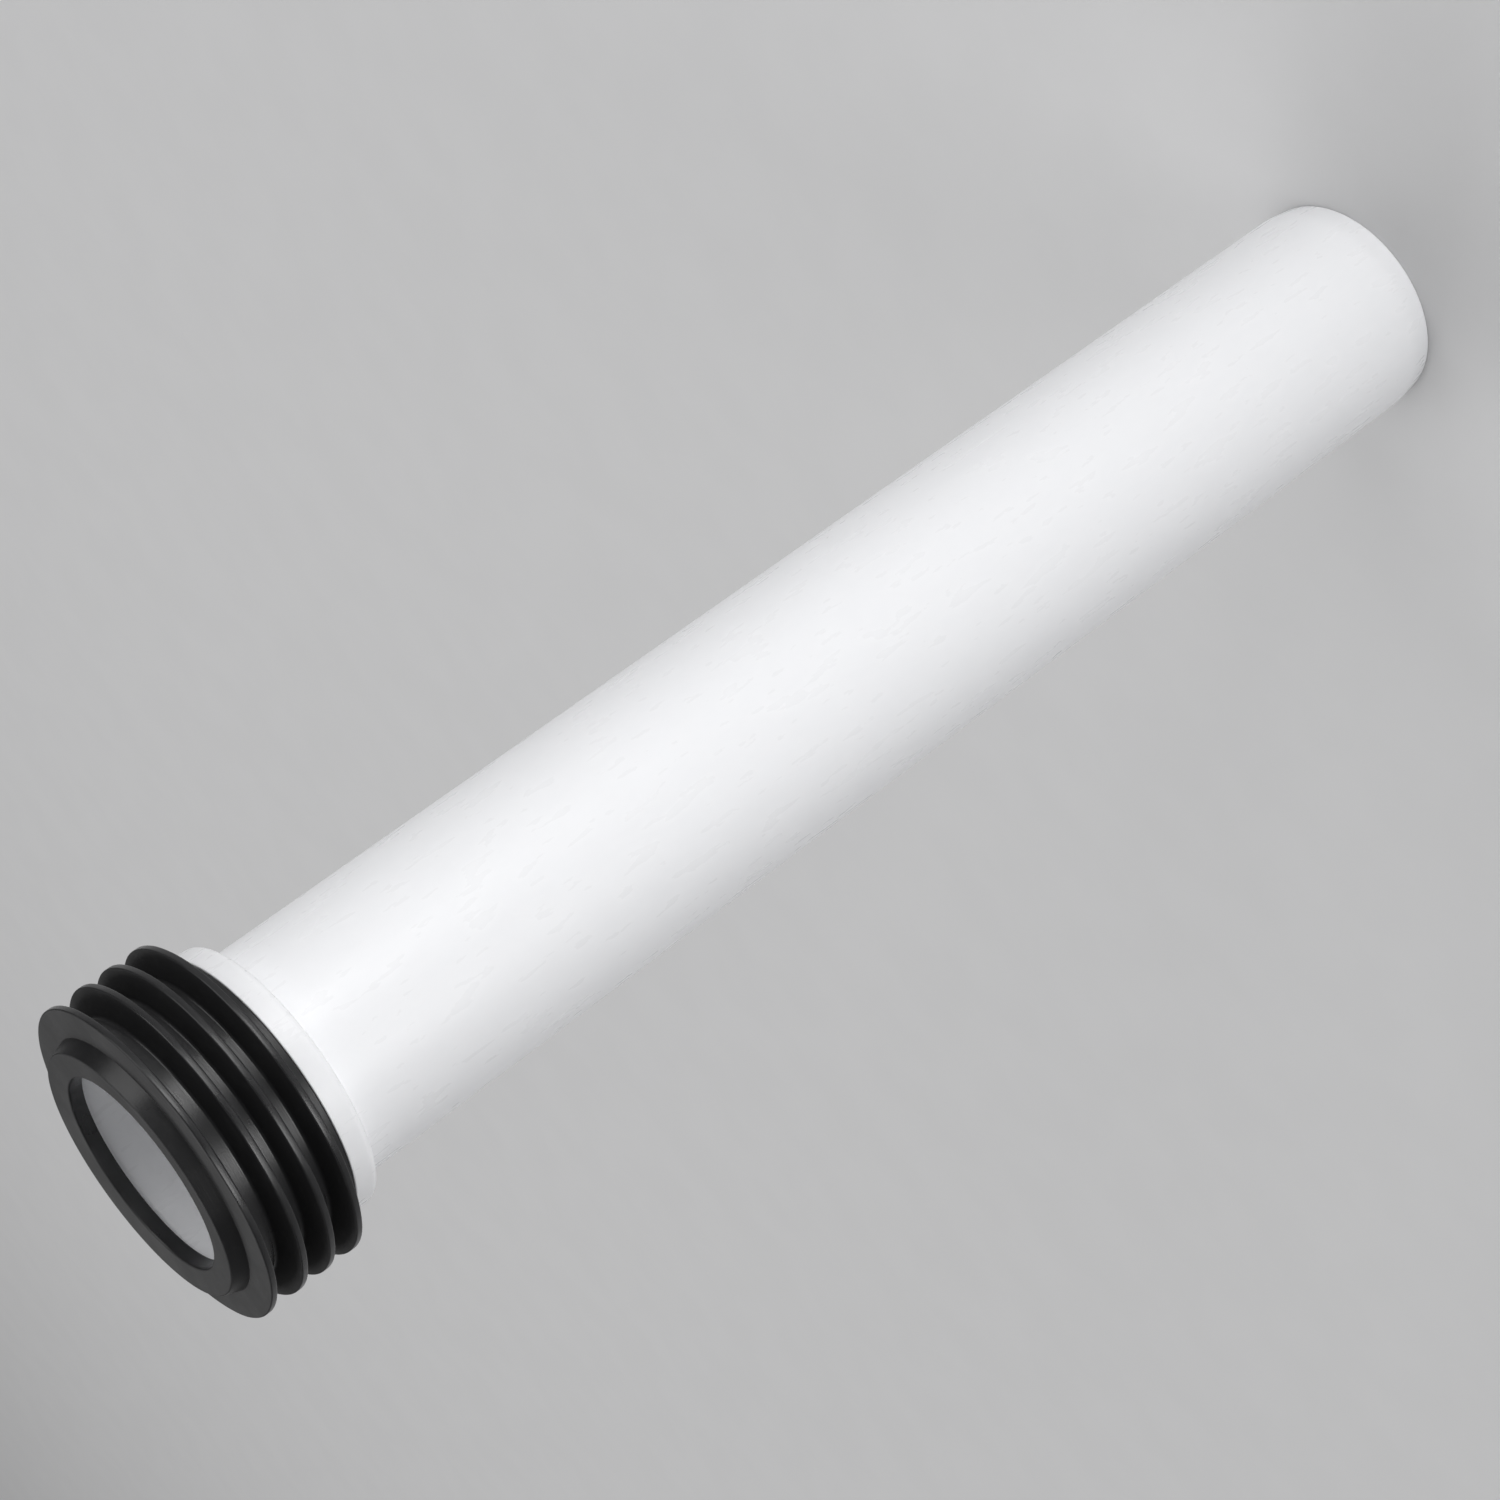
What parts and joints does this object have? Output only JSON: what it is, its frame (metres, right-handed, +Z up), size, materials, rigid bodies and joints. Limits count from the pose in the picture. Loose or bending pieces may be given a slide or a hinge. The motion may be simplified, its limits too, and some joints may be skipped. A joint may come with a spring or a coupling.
{
  "type": "flush pipe extension",
  "caption": "Straight white plastic flush pipe extension with a tapered spigot, a moulded collar and a black finned push-in rubber seal",
  "frame": {"origin": "Centre of the spigot's tip, on the pipe's axis, where the part stands", "axes": "+Z runs up the pipe's axis from the spigot to the seal's mouth; X and Y are any two directions across it, as the part is round"},
  "size_m": [0.062, 0.062, 0.3034],
  "materials": {
    "pipe": "smooth white moulded plastic, semi-gloss",
    "seal": "satin black moulded rubber"
  },
  "bodies": {
    "root": {"flush_pipe": "pipe", "fin_seal": "seal"}
  },
  "joints": []
}
